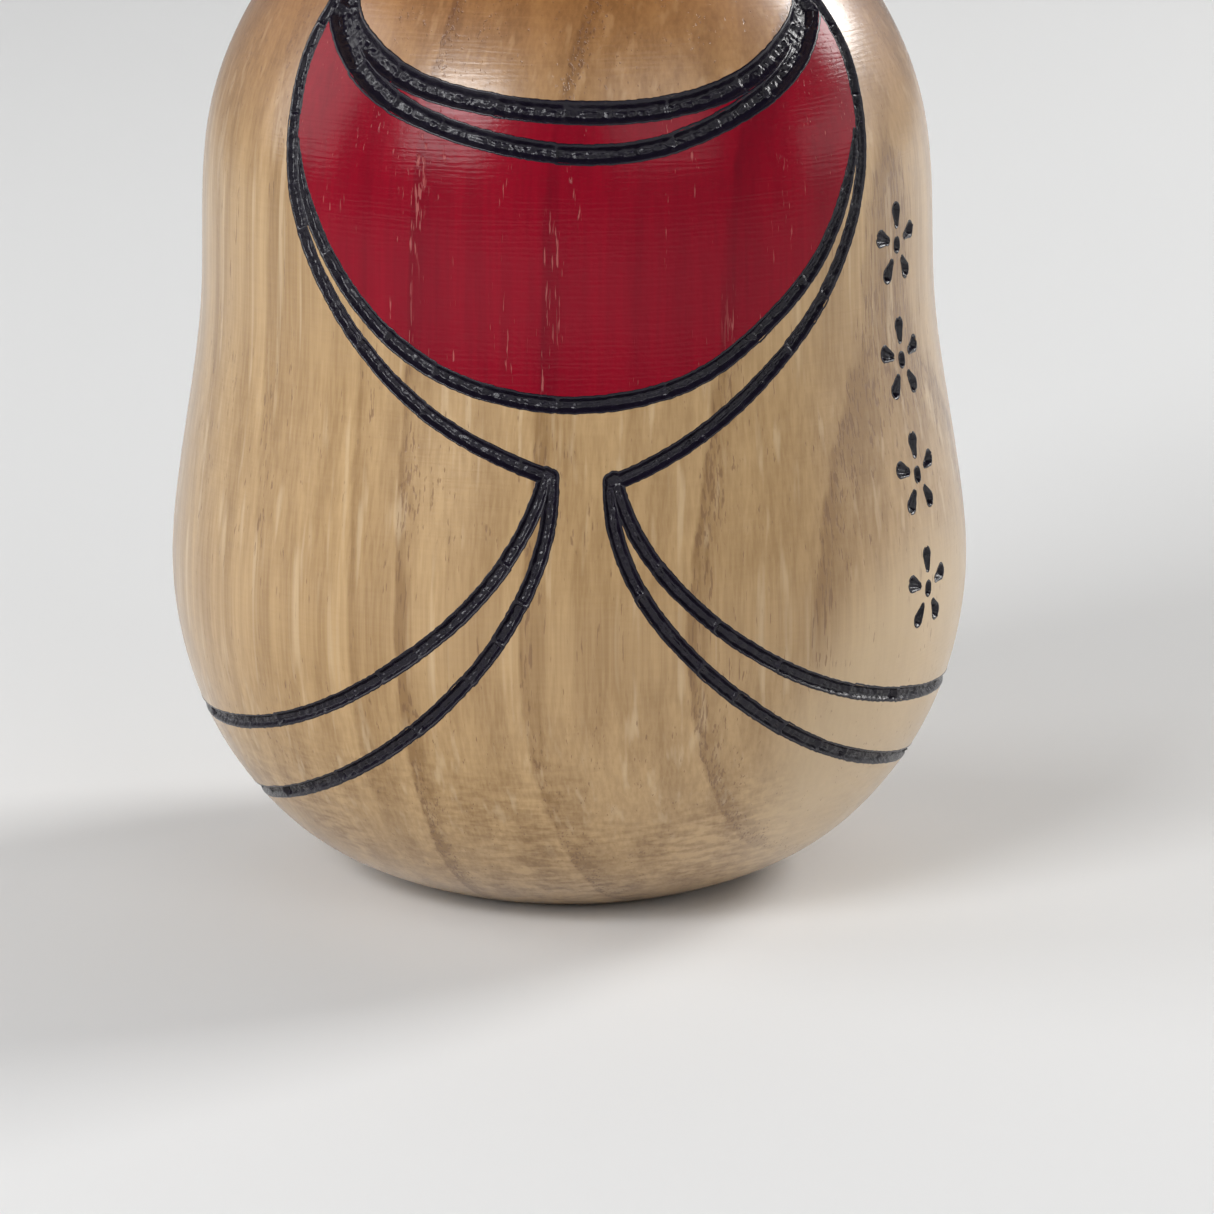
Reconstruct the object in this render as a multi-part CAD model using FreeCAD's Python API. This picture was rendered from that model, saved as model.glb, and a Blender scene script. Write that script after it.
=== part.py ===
"""A turned wooden kokeshi doll: a monk in a red bib, with carved and lacquered line work.

The doll stands on the plane Z = 0 with its axis on +Z, and its front faces -Y. Millimetres.
Left and right in names are as seen from the front, so left is -X. Carved lines are given as points
(azimuth, height) on the turned surface, with azimuth in degrees from the front, growing towards +X.
"""
import FreeCAD, Part
import math
import os

from FreeCAD import Vector

# Body: (height, radius) of the turned profile, from the foot's edge to the neck's edge
FOOT_RADIUS = 15.0
NECK_HEIGHT = 86.5
NECK_RADIUS = 13.0
BODY_PROFILE = [
    (0.0, FOOT_RADIUS), (1.2, 18.3), (4.0, 23.5), (8.5, 28.2), (14.5, 32.0), (21.5, 34.3),
    (28.0, 35.0), (35.0, 34.4), (43.0, 33.1), (51.0, 32.0), (59.0, 31.7), (68.0, 30.8),
    (76.5, 27.4), (81.5, 23.6), (84.8, 18.6), (NECK_HEIGHT, NECK_RADIUS),
]
FOOT_HOLLOW_RADIUS = 11.0
FOOT_HOLLOW_DEPTH = 0.8
FOOT_HOLLOW_MIDDLE = 0.76

# Head: the same, from its seat just above the neck to its crown
SEAT_GAP = 0.1
SEAT_HEIGHT = NECK_HEIGHT + SEAT_GAP
SEAT_RADIUS = 12.5
CROWN_HEIGHT = 133.8
HEAD_PROFILE = [
    (SEAT_HEIGHT, SEAT_RADIUS), (88.6, 17.6), (93.0, 22.8), (99.5, 26.2), (107.5, 27.2),
    (116.0, 25.8), (123.5, 21.9), (129.5, 15.6), (133.0, 7.4), (CROWN_HEIGHT, 0.0),
]

# Neck peg, glued into the body and free to turn in the head
PEG_RADIUS = 6.0
PEG_IN_BODY = 16.0
PEG_IN_HEAD = 18.0
PEG_RUNNING_GAP = 0.05
PEG_END_GAP = 0.5
PEG_CHAMFER = 0.8

# Section of a carved line: a groove with a film of black lacquer on its walls
GROOVE_FLOOR_SHARE = 0.6
LACQUER_FLOOR = 0.3
LACQUER_RIM = 0.15
CUTTER_RISE = 0.6
SAMPLES_PER_SPAN = 6
MM_PER_DEGREE = 0.55
TOUCHING = 0.001
HALVINGS = 50

# Carved lines on the body: half width, depth, then points (azimuth, height).
# A line that runs into an earlier one is shallower than it, so that their floors don't coincide.
BODY_LINES = {
    "robe_line_left": (0.72, 1.0, [
        (-50.0, 84.0), (-50.0, 79.0), (-51.0, 75.5), (-50.0, 70.6), (-48.5, 65.6),
        (-45.0, 60.2), (-39.0, 55.0), (-30.0, 49.8), (-17.0, 45.0), (-4.8, 42.1),
    ]),
    "robe_line_right": (0.72, 1.0, [
        (50.0, 84.0), (51.0, 79.0), (52.7, 75.4), (51.8, 71.2), (50.0, 66.4),
        (46.0, 60.5), (39.0, 54.7), (30.0, 50.0), (17.0, 44.9), (4.2, 41.5),
    ]),
    "collar_line_upper": (1.0, 0.9, [
        (-48.5, 81.5), (-45.5, 78.5), (-38.4, 76.0), (-29.0, 73.8), (-15.7, 72.2),
        (2.0, 71.4), (19.5, 72.1), (31.0, 73.9), (41.0, 76.4), (47.5, 78.8), (49.5, 81.5),
    ]),
    "collar_line_lower": (0.9, 0.8, [
        (-46.9, 78.4), (-41.9, 75.9), (-35.0, 73.2), (-25.4, 70.9), (-13.0, 69.1),
        (0.0, 68.2), (12.0, 68.6), (24.0, 70.5), (34.0, 72.8), (42.5, 75.7), (48.0, 78.4),
    ]),
    "bib_hem_line": (0.75, 0.8, [
        (-48.3, 68.0), (-45.4, 63.8), (-40.7, 59.3), (-32.1, 54.0), (-20.0, 49.9),
        (-6.0, 48.0), (6.0, 48.1), (19.0, 50.1), (30.0, 54.0), (38.6, 58.1),
        (44.5, 62.8), (49.3, 68.2),
    ]),
    "sleeve_left_upper_line": (0.68, 0.9, [
        (-5.0, 42.3), (-8.7, 37.0), (-15.4, 31.4), (-25.4, 26.1), (-39.4, 21.1),
        (-60.0, 17.4), (-90.0, 15.7), (-130.0, 15.8), (-165.0, 16.4), (-179.5, 16.5),
    ]),
    "sleeve_left_lower_line": (0.68, 0.8, [
        (-4.4, 42.1), (-5.1, 37.4), (-8.6, 31.6), (-16.9, 24.3), (-30.4, 17.5),
        (-51.0, 12.0), (-75.0, 8.9), (-125.0, 8.2), (-165.0, 8.7), (-179.5, 8.8),
    ]),
    "sleeve_right_upper_line": (0.68, 0.9, [
        (4.6, 41.9), (7.9, 36.6), (14.5, 31.5), (24.7, 26.5), (39.1, 22.2),
        (60.0, 19.2), (90.0, 17.3), (130.0, 16.4), (165.0, 16.4), (179.5, 16.5),
    ]),
    "sleeve_right_lower_line": (0.68, 0.8, [
        (4.0, 41.7), (5.2, 35.9), (10.3, 30.0), (20.5, 23.5), (35.0, 17.8),
        (55.0, 13.7), (80.0, 11.2), (125.0, 9.4), (165.0, 8.7), (179.5, 8.8),
    ]),
}

# Carved lines on the face, in the same form
FACE_LINES = {
    "eye_line_left": (0.55, 0.5, [(-13.0, 108.6), (-18.5, 107.2), (-25.0, 107.2), (-31.0, 109.0)]),
    "eye_line_right": (0.55, 0.5, [(13.0, 108.6), (18.5, 107.2), (25.0, 107.2), (31.0, 109.0)]),
    "brow_line_left": (0.45, 0.5, [(-9.0, 114.8), (-17.0, 116.6), (-26.0, 116.4), (-33.0, 114.4)]),
    "brow_line_right": (0.45, 0.5, [(9.0, 114.8), (17.0, 116.6), (26.0, 116.4), (33.0, 114.4)]),
    "nose_line": (0.4, 0.5, [(-3.0, 104.0), (-1.2, 102.9), (1.2, 102.9), (3.0, 104.0)]),
}

# Stained and painted places, which soak this far into the wood
STAIN_DEPTH = 0.3
OUTLINE_OFFSET = 0.3
PRISM_REACH = 45.0
MOUTH_HEIGHT = 98.0
MOUTH_WIDTH = 5.2
MOUTH_DROP = 1.0
MOUTH_BOW = 0.5
DOT_HEIGHT = 119.5
DOT_RADIUS = 1.3

# A column of carved blossoms on the right side, each a heart in a ring of petals
BLOSSOM_AZIMUTH = 59.0
BLOSSOM_HEIGHTS = [58.0, 48.2, 38.4, 28.6]
PETAL_COUNT = 5
PETAL_RADIUS = 1.15
PETAL_RING_RADIUS = 2.5
HEART_RADIUS = 0.8
BLOSSOM_DEPTH = 0.6
BLOSSOM_FILM = 0.2


class Turning:
    """A turned form: a spline through (height, radius) points, and what is read off it."""

    def __init__(self, profile, round_crown=False):
        points = [vertical(radius, height) for height, radius in profile]
        beyond = [Vector(-p.x, 0, p.z) for p in points[-2:-5:-1]] if round_crown else []
        self.curve = spline(points + beyond)
        self.curve.segment(self.curve.FirstParameter, self.curve.parameter(points[-1]))

    def parameter(self, height):
        """Where the spline reaches a height, found by halving its range again and again."""
        low = self.curve.FirstParameter
        high = self.curve.LastParameter
        for _ in range(HALVINGS):
            middle = (low + high) / 2
            if self.curve.value(middle).z < height:
                low = middle
            else:
                high = middle
        return (low + high) / 2

    def radius(self, height):
        return self.curve.value(self.parameter(height)).x

    def point(self, azimuth, height):
        """The surface point at an azimuth and height."""
        turn = math.radians(azimuth)
        radius = self.radius(height)
        return Vector(radius * math.sin(turn), -radius * math.cos(turn), height)

    def normal(self, azimuth, height):
        """The outward surface normal at an azimuth and height."""
        turn = math.radians(azimuth)
        slope = self.curve.tangent(self.parameter(height))[0]
        return Vector(slope.z * math.sin(turn), -slope.z * math.cos(turn), -slope.x)


def vertical(radius, height):
    """A point in the XZ plane, where the outlines of turned forms are drawn."""
    return Vector(radius, 0, height)


def turned(edges):
    """The solid that a closed outline in the XZ plane sweeps about the Z axis.

    It is turned so that its surface's seam is at the back, where no carved line crosses it.
    """
    solid = Part.Face(Part.Wire(edges)).revolve(Vector(0, 0, 0), Vector(0, 0, 1), 360)
    solid.rotate(Vector(0, 0, 0), Vector(0, 0, 1), 90)
    return solid


def spline(points):
    curve = Part.BSplineCurve()
    curve.interpolate(points)
    return curve


def body_blank(turning):
    """The turned body before any carving, with a shallow hollow under its foot."""
    hollow = Part.Arc(
        vertical(0, FOOT_HOLLOW_DEPTH),
        vertical(FOOT_HOLLOW_RADIUS / 2, FOOT_HOLLOW_DEPTH * FOOT_HOLLOW_MIDDLE),
        vertical(FOOT_HOLLOW_RADIUS, 0),
    ).toShape()
    foot = Part.makeLine(vertical(FOOT_HOLLOW_RADIUS, 0), vertical(FOOT_RADIUS, 0))
    neck = Part.makeLine(vertical(NECK_RADIUS, NECK_HEIGHT), vertical(0, NECK_HEIGHT))
    axis = Part.makeLine(vertical(0, NECK_HEIGHT), vertical(0, FOOT_HOLLOW_DEPTH))
    return turned([hollow, foot, turning.curve.toShape(), neck, axis])


def head_blank(turning):
    """The turned head before any carving."""
    seat = Part.makeLine(vertical(0, SEAT_HEIGHT), vertical(SEAT_RADIUS, SEAT_HEIGHT))
    axis = Part.makeLine(vertical(0, CROWN_HEIGHT), vertical(0, SEAT_HEIGHT))
    return turned([seat, turning.curve.toShape(), axis])


def core(profile, depth):
    """What is left of a turned form under a skin of a given depth."""
    side = [vertical(max(radius - depth, depth), height) for height, radius in profile]
    low = vertical(0, side[0].z)
    high = vertical(0, side[-1].z)
    return turned([
        Part.makeLine(low, side[0]),
        spline(side).toShape(),
        Part.makeLine(side[-1], high),
        Part.makeLine(high, low),
    ])


def neck_peg():
    """A chamfered dowel, from the bottom of its hole in the body up into the head."""
    peg = Part.makeCylinder(
        PEG_RADIUS, PEG_IN_BODY + PEG_IN_HEAD, Vector(0, 0, NECK_HEIGHT - PEG_IN_BODY)
    )
    rims = [e for e in peg.Edges if isinstance(e.Curve, Part.Circle)]
    return peg.makeChamfer(PEG_CHAMFER, rims)


def peg_hole_in_body():
    bottom = Vector(0, 0, NECK_HEIGHT - PEG_IN_BODY)
    return Part.makeCylinder(PEG_RADIUS, PEG_IN_BODY + SEAT_GAP, bottom)


def peg_hole_in_head():
    depth = PEG_IN_HEAD + PEG_END_GAP
    return Part.makeCylinder(PEG_RADIUS + PEG_RUNNING_GAP, depth, Vector(0, 0, NECK_HEIGHT))


def line_stations(turning, points):
    """Places along a line: (surface point, outward normal, sideways direction) at each."""
    path = spline([Vector(azimuth * MM_PER_DEGREE, height, 0) for azimuth, height in points])
    count = SAMPLES_PER_SPAN * (len(points) - 1) + 1
    places = [(p.x / MM_PER_DEGREE, p.y) for p in path.discretize(Number=count)]
    surface = [turning.point(azimuth, height) for azimuth, height in places]
    stations = []
    for i, (azimuth, height) in enumerate(places):
        before = surface[max(i - 1, 0)]
        after = surface[min(i + 1, count - 1)]
        normal = turning.normal(azimuth, height)
        sideways = normal.cross(after - before)
        sideways.normalize()
        stations.append((surface[i], normal, sideways))
    return stations


def swept(stations, section):
    """A solid bar along the stations. Its section is a polygon of (sideways, outward) corners."""
    parameters = [i / (len(stations) - 1) for i in range(len(stations))]
    rails = []
    for across, out in section:
        rail = Part.BSplineCurve()
        corners = [place + sideways * across + normal * out for place, normal, sideways in stations]
        rail.interpolate(Points=corners, Parameters=parameters)
        rails.append(rail)
    neighbours = rails[1:] + rails[:1]
    faces = [Part.makeRuledSurface(a.toShape(), b.toShape()) for a, b in zip(rails, neighbours)]
    for corners in ([r.StartPoint for r in rails], [r.EndPoint for r in rails]):
        faces.append(Part.Face(Part.makePolygon(corners + corners[:1])))
    shell = Part.makeShell(faces)
    shell.sewShape()
    solid = Part.Solid(shell)
    if solid.Volume < 0:
        solid.reverse()
    return solid


class CarvedLine:
    """A carved groove: the cutter that makes it, and the channel left inside its lacquer."""

    def __init__(self, turning, half_width, depth, points):
        stations = line_stations(turning, points)
        floor = half_width * GROOVE_FLOOR_SHARE
        top = half_width + (half_width - floor) * CUTTER_RISE / depth
        mouth = half_width - LACQUER_RIM
        channel_depth = depth - LACQUER_FLOOR
        channel_top = mouth + mouth * CUTTER_RISE / channel_depth
        self.cutter = swept(
            stations,
            [(-top, CUTTER_RISE), (-floor, -depth), (floor, -depth), (top, CUTTER_RISE)],
        )
        self.channel = swept(
            stations,
            [(-channel_top, CUTTER_RISE), (0, -channel_depth), (channel_top, CUTTER_RISE)],
        )

    def meets(self, other):
        return self.cutter.distToShape(other.cutter)[0] < TOUCHING


def lacquer_films(blank, lines):
    """The lacquer in each groove. Where two grooves run together, the earlier one keeps it."""
    films = {}
    for name, line in lines.items():
        film = blank.common(line.cutter).cut(line.channel)
        for earlier in films:
            if line.meets(lines[earlier]):
                film = film.cut(lines[earlier].cutter)
        films[name] = film
    return films


def front_curve(turning, points):
    """A spline through surface points (azimuth, height), seen square from the front."""
    places = [turning.point(azimuth, height) for azimuth, height in points]
    return spline([vertical(place.x, place.z) for place in places])


def front_prism(first, second):
    """A block inside two curves seen from the front, from the doll's axis to past its front."""
    outline = Part.Wire([
        first.toShape(),
        Part.makeLine(first.EndPoint, second.StartPoint),
        second.toShape(),
        Part.makeLine(second.EndPoint, first.StartPoint),
    ])
    return Part.Face(outline).extrude(Vector(0, -PRISM_REACH, 0))


def moved(points, rise):
    """Line points moved up or down, so that a stain's outline runs along inside a groove."""
    return [(azimuth, height + rise) for azimuth, height in points]


def bib_stains(turning):
    """The two stained places of the bib: its field, and the band along the collar.

    Every outline runs inside a carved line, so the line's groove gives the stain its edge.
    """
    hem = BODY_LINES["bib_hem_line"][-1]
    upper = BODY_LINES["collar_line_upper"][-1]
    lower = BODY_LINES["collar_line_lower"][-1]
    left_side = BODY_LINES["robe_line_left"][-1][1:4]
    right_side = BODY_LINES["robe_line_right"][-1][3:0:-1]
    field = front_prism(
        front_curve(turning, left_side + hem + right_side),
        front_curve(turning, moved(lower[::-1], -OUTLINE_OFFSET)),
    )
    band = front_prism(
        front_curve(turning, moved(lower[1:-1], OUTLINE_OFFSET)),
        front_curve(turning, moved(upper[-3:1:-1], -OUTLINE_OFFSET)),
    )
    inside = core(BODY_PROFILE, STAIN_DEPTH)
    return {"bib_field": field.cut(inside), "bib_band": band.cut(inside)}


def face_paints():
    """The painted places of the face: a small bowed mouth, and a dot on the brow."""
    left = vertical(-MOUTH_WIDTH / 2, MOUTH_HEIGHT)
    right = vertical(MOUTH_WIDTH / 2, MOUTH_HEIGHT)
    upper_lip = Part.Arc(left, vertical(0, MOUTH_HEIGHT + MOUTH_BOW), right).toShape()
    lower_lip = Part.Arc(right, vertical(0, MOUTH_HEIGHT - MOUTH_DROP), left).toShape()
    dot = Part.makeCircle(DOT_RADIUS, vertical(0, DOT_HEIGHT), Vector(0, -1, 0))
    outlines = {"mouth_paint": [upper_lip, lower_lip], "brow_dot": [dot]}
    inside = core(HEAD_PROFILE, STAIN_DEPTH)
    return {
        name: Part.Face(Part.Wire(edges)).extrude(Vector(0, -PRISM_REACH, 0)).cut(inside)
        for name, edges in outlines.items()
    }


def blossom_places(turning):
    """Where the petals and hearts of the blossoms lie: (surface point, normal, radius) each."""
    places = []
    for centre in BLOSSOM_HEIGHTS:
        marks = [(0, 0, HEART_RADIUS)]
        for i in range(PETAL_COUNT):
            turn = math.radians(360 * i / PETAL_COUNT)
            across = PETAL_RING_RADIUS * math.sin(turn)
            up = PETAL_RING_RADIUS * math.cos(turn)
            marks.append((across, up, PETAL_RADIUS))
        for across, up, radius in marks:
            azimuth = BLOSSOM_AZIMUTH + math.degrees(across / turning.radius(centre))
            height = centre + up
            places.append((turning.point(azimuth, height), turning.normal(azimuth, height), radius))
    return places


def blossom_marks(turning, blank):
    """The round-nosed cutters of the blossoms' petals and hearts, and the lacquer in them."""
    cutters = []
    films = []
    for place, normal, radius in blossom_places(turning):
        nose = (radius ** 2 + BLOSSOM_DEPTH ** 2) / (2 * BLOSSOM_DEPTH)
        centre = place + normal * (nose - BLOSSOM_DEPTH)
        cutter = Part.makeSphere(nose, centre)
        dimple = Part.makeSphere(nose, centre + normal * BLOSSOM_FILM)
        cutters.append(cutter)
        films.append(blank.common(cutter).cut(dimple))
    return cutters, films


def carve(blank, cutters):
    for cutter in cutters:
        blank = blank.cut(cutter)
    return blank


def without(shape, cutters):
    """A stain less the grooves that border it."""
    return carve(shape, [cutter for cutter in cutters if shape.distToShape(cutter)[0] == 0])


def body_parts():
    """The body with everything that is carved, stained or glued into it."""
    turning = Turning(BODY_PROFILE)
    blank = body_blank(turning)
    lines = {name: CarvedLine(turning, *line) for name, line in BODY_LINES.items()}
    grooves = [line.cutter for line in lines.values()]
    stains = bib_stains(turning)
    marks, mark_films = blossom_marks(turning, blank)
    parts = {"body": carve(blank, [*grooves, *stains.values(), peg_hole_in_body(), *marks])}
    for name, stain in stains.items():
        parts[name] = without(blank.common(stain), grooves)
    parts.update(lacquer_films(blank, lines))
    parts["side_blossoms"] = Part.makeCompound(mark_films)
    parts["neck_peg"] = neck_peg()
    return parts


def head_parts():
    """The head with its carved and painted face."""
    turning = Turning(HEAD_PROFILE, round_crown=True)
    blank = head_blank(turning)
    lines = {name: CarvedLine(turning, *line) for name, line in FACE_LINES.items()}
    grooves = [line.cutter for line in lines.values()]
    paints = face_paints()
    parts = {"head": carve(blank, [*grooves, *paints.values(), peg_hole_in_head()])}
    for name, paint in paints.items():
        parts[name] = blank.common(paint)
    parts.update(lacquer_films(blank, lines))
    return parts


def largest(shape):
    """A boolean's main solid, without the slivers that it leaves where grooves cross."""
    return max(shape.Solids, key=lambda solid: solid.Volume)


def main():
    os.makedirs("parts", exist_ok=True)
    for name, shape in {**body_parts(), **head_parts()}.items():
        if name != "side_blossoms":
            shape = largest(shape)
        print(f"{name}: {len(shape.Solids)} solid(s), {shape.Volume:.2f} mm3, valid {shape.isValid()}")
        shape.exportStep(f"parts/{name}.step")


main()
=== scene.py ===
"""The looks of a turned wooden kokeshi doll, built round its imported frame.

The frame is in metres, with +Z up and the doll's front towards -Y. Shapes are worked out here in
millimetres and made into meshes in metres. Left and right are as seen from the front, so left is
-X. Carved lines are points (azimuth, height) on the turned surface, with azimuth in degrees from
the front, growing towards +X.
"""
import math

import bpy
import numpy as np
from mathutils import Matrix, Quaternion, Vector, kdtree, noise


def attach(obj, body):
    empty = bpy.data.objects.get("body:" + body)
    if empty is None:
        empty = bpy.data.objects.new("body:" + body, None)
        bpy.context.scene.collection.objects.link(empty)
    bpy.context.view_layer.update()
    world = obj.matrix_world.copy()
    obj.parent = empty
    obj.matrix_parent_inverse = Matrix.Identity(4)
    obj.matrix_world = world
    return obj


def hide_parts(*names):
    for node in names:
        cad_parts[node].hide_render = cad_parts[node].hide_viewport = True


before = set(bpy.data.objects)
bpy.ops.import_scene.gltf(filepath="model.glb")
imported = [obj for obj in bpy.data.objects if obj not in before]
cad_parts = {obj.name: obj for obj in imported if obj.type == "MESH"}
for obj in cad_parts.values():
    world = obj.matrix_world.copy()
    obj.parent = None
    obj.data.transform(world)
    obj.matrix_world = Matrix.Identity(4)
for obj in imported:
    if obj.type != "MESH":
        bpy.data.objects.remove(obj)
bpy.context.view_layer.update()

MM = 0.001

# Turned outlines, as (height, radius)
BODY_PROFILE = [
    (0.0, 15.0), (1.2, 18.3), (4.0, 23.5), (8.5, 28.2), (14.5, 32.0), (21.5, 34.3),
    (28.0, 35.0), (35.0, 34.4), (43.0, 33.1), (51.0, 32.0), (59.0, 31.7), (68.0, 30.8),
    (76.5, 27.4), (81.5, 23.6), (84.8, 18.6), (86.5, 13.0),
]
HEAD_PROFILE = [
    (86.6, 12.5), (88.6, 17.6), (93.0, 22.8), (99.5, 26.2), (107.5, 27.2),
    (116.0, 25.8), (123.5, 21.9), (129.5, 15.6), (133.0, 7.4), (133.8, 0.0),
]
FOOT_HOLLOW_RADIUS = 11.0
FOOT_HOLLOW_DEPTH = 0.8
PEG_HOLE_BOTTOM = 70.5
PEG_HOLE_RADIUS = 6.05
PEG_HOLE_TOP = 105.0

# Fineness of the turned meshes, and how a carved mesh's turned skin is told from its cuts
PROFILE_SAMPLES = 4000
HOLLOW_SAMPLES = 12
RING_STEP = 0.62
SEGMENTS = 320
CORE_SEGMENTS = 160
SKIN_TOLERANCE = 0.012
SKIN_AGREEMENT = 0.9

# Carved lines: half width, or half widths from end to end, then points (azimuth, height)
MM_PER_DEGREE = 0.55
BODY_LINES = {
    "robe_line_left": (0.72, [
        (-50.0, 84.0), (-50.0, 79.0), (-51.0, 75.5), (-50.0, 70.6), (-48.5, 65.6),
        (-45.0, 60.2), (-39.0, 55.0), (-30.0, 49.8), (-17.0, 45.0), (-4.8, 42.1),
    ]),
    "robe_line_right": (0.72, [
        (50.0, 84.0), (51.0, 79.0), (52.7, 75.4), (51.8, 71.2), (50.0, 66.4),
        (46.0, 60.5), (39.0, 54.7), (30.0, 50.0), (17.0, 44.9), (4.2, 41.5),
    ]),
    "collar_line_upper": ((1.45, 1.22, 1.03, 1.0, 1.0, 1.0, 1.03, 1.22, 1.45), [
        (-48.5, 81.5), (-45.5, 78.5), (-38.4, 76.0), (-29.0, 73.8), (-15.7, 72.2),
        (2.0, 71.4), (19.5, 72.1), (31.0, 73.9), (41.0, 76.4), (47.5, 78.8), (49.5, 81.5),
    ]),
    "collar_line_lower": ((1.45, 1.14, 0.92, 0.88, 0.88, 0.88, 0.92, 1.14, 1.45), [
        (-46.9, 78.4), (-41.9, 75.9), (-35.0, 73.2), (-25.4, 70.9), (-13.0, 69.1),
        (0.0, 68.2), (12.0, 68.6), (24.0, 70.5), (34.0, 72.8), (42.5, 75.7), (48.0, 78.4),
    ]),
    "bib_hem_line": ((0.35, 0.7) + (0.75,) * 9 + (0.7, 0.35), [
        (-48.3, 68.0), (-45.4, 63.8), (-40.7, 59.3), (-32.1, 54.0), (-20.0, 49.9),
        (-6.0, 48.0), (6.0, 48.1), (19.0, 50.1), (30.0, 54.0), (38.6, 58.1),
        (44.5, 62.8), (49.3, 68.2),
    ]),
    "sleeve_left_upper_line": (0.68, [
        (-5.0, 42.3), (-8.7, 37.0), (-15.4, 31.4), (-25.4, 26.1), (-39.4, 21.1),
        (-60.0, 17.4), (-90.0, 15.7), (-130.0, 15.8), (-165.0, 16.4), (-180.0, 16.5),
    ]),
    "sleeve_left_lower_line": (0.68, [
        (-4.4, 42.1), (-5.1, 37.4), (-8.6, 31.6), (-16.9, 24.3), (-30.4, 17.5),
        (-51.0, 12.0), (-75.0, 8.9), (-125.0, 8.2), (-165.0, 8.7), (-180.0, 8.8),
    ]),
    "sleeve_right_upper_line": (0.68, [
        (4.6, 41.9), (7.9, 36.6), (14.5, 31.5), (24.7, 26.5), (39.1, 22.2),
        (60.0, 19.2), (90.0, 17.3), (130.0, 16.4), (165.0, 16.4), (180.0, 16.5),
    ]),
    "sleeve_right_lower_line": (0.68, [
        (4.0, 41.7), (5.2, 35.9), (10.3, 30.0), (20.5, 23.5), (35.0, 17.8),
        (55.0, 13.7), (80.0, 11.2), (125.0, 9.4), (165.0, 8.7), (180.0, 8.8),
    ]),
}
FACE_LINES = {
    "eye_line_left": (0.55, [(-13.0, 108.6), (-18.5, 107.2), (-25.0, 107.2), (-31.0, 109.0)]),
    "eye_line_right": (0.55, [(13.0, 108.6), (18.5, 107.2), (25.0, 107.2), (31.0, 109.0)]),
    "brow_line_left": (0.45, [(-9.0, 114.8), (-17.0, 116.6), (-26.0, 116.4), (-33.0, 114.4)]),
    "brow_line_right": (0.45, [(9.0, 114.8), (17.0, 116.6), (26.0, 116.4), (33.0, 114.4)]),
    "nose_line": (0.4, [(-3.0, 104.0), (-1.2, 102.9), (1.2, 102.9), (3.0, 104.0)]),
}

# Section of a carved line. Shares are of its half width.
STATION_STEP = 0.12
PATH_SAMPLES = 3000
END_REACH = 0.98
LEAST_REACH = 0.1
SECTION_SHARES = [1.0, 0.95, 0.88, 0.78, 0.66, 0.54, 0.42, 0.28, 0.14, 0.0]
LIP_SHARE = 0.88
LIP_HEIGHT = 0.03
WALL_SHARE = 0.62
DEPTH_SHARE = 0.6
RIDGE_SHARE = 0.3
RIDGE_HEIGHT = 0.05
RIM_ROOT = 0.12
FILM = 0.1
SINK = 0.05
SINK_SHARE = 0.15
GROOVE_INSET_SHARE = 0.15
GROOVE_FLOOR_SHARE = 0.5
GROOVE_DEPTH_SHARE = 0.95
GROOVE_RISE = 0.5
GROOVE_END_SHARES = [0.85, 0.7, 0.4]
GROOVE_STRIDE = 4

# How unevenly a gouge and a brush leave a line
RAGGED = 0.04
RAGGED_SPACING = 0.32
CHATTER = 0.05
CHATTER_SPACING = 0.6
RESTART_SPACING = (3.5, 11.0)
MOST_RESTARTS = 60
RESTART_RISE = 0.32
LEAST_RISE_SHARE = 0.4
RESTART_LENGTH = 0.2
RESTART_WIDTH = 0.09
BEADS = [(0.2, 0.5), (0.12, 0.22)]
BEAD_REACH = 0.85
BODY_SEED = 100
FACE_SEED = 300
BLOSSOM_SEED = 500

# Stained and painted places
STAIN_DEPTH = 0.3
OUTLINE_OFFSET = 0.3
OUTLINE_SAMPLES = 160
PRISM_REACH = 45.0
MOUTH_HEIGHT = 98.0
MOUTH_WIDTH = 5.2
MOUTH_DROP = 1.0
MOUTH_BOW = 0.5
DOT_HEIGHT = 119.5
DOT_RADIUS = 1.3
ARC_SAMPLES = 24
DOT_SAMPLES = 48

# Blossoms in a column on the right side
BLOSSOM_AZIMUTH = 59.0
BLOSSOM_HEIGHTS = [58.0, 48.2, 38.4, 28.6]
PETAL_COUNT = 5
PETAL_START = 1.75
PETAL_END = 2.9
PETAL_HALF_WIDTHS = (0.4, 0.8)
HEART_HALF_WIDTH = 0.62
HEART_LENGTH = 0.3
STROKE_POINTS = 4

# Figure of the wood. The growth rings are (distance, darkness) across the blank, which is turned
# about the doll's axis. The head is made of other wood, so its rings are shifted.
RING_TURN = math.radians(28.6)
RINGS = [
    (-29.0, 0.6), (-22.0, 0.4), (-14.0, 0.5), (-3.0, 0.35), (1.9, 0.95), (12.8, 0.7),
    (24.7, 1.0), (31.5, 0.9),
]
HEAD_SHIFT = -9.0
RING_REACH = 40.0
RING_EDGE = 0.28
RING_FADE = 1.8
RING_DRIFT = 2.5
RING_WAVER = 0.35
COARSE_SPAN = (26.0, 28.5)
SAPWOOD_LEAN = 0.4
SAPWOOD_SPAN = (19.0, 24.0)
SAPWOOD_RINGS = 0.25
PALE_SPAN = (5.0, 16.0)
CURL_SPAN = (8.0, 22.0)
CROWDING = (-0.24, 0.1)
RING_CROWDING = 0.24
MOST_CROWDING = 0.13
PORE_SPAN = (0.64, 0.72)
LATHE_TONE = 0.08
TURNING_PITCH = 0.45
# Heights over which painted shade darkens the body and the head towards the neck, where the head overhangs
BODY_NECK_SHADE_SPAN = (60.0, 84.0)
HEAD_NECK_SHADE_SPAN = (98.0, 84.0)

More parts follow.
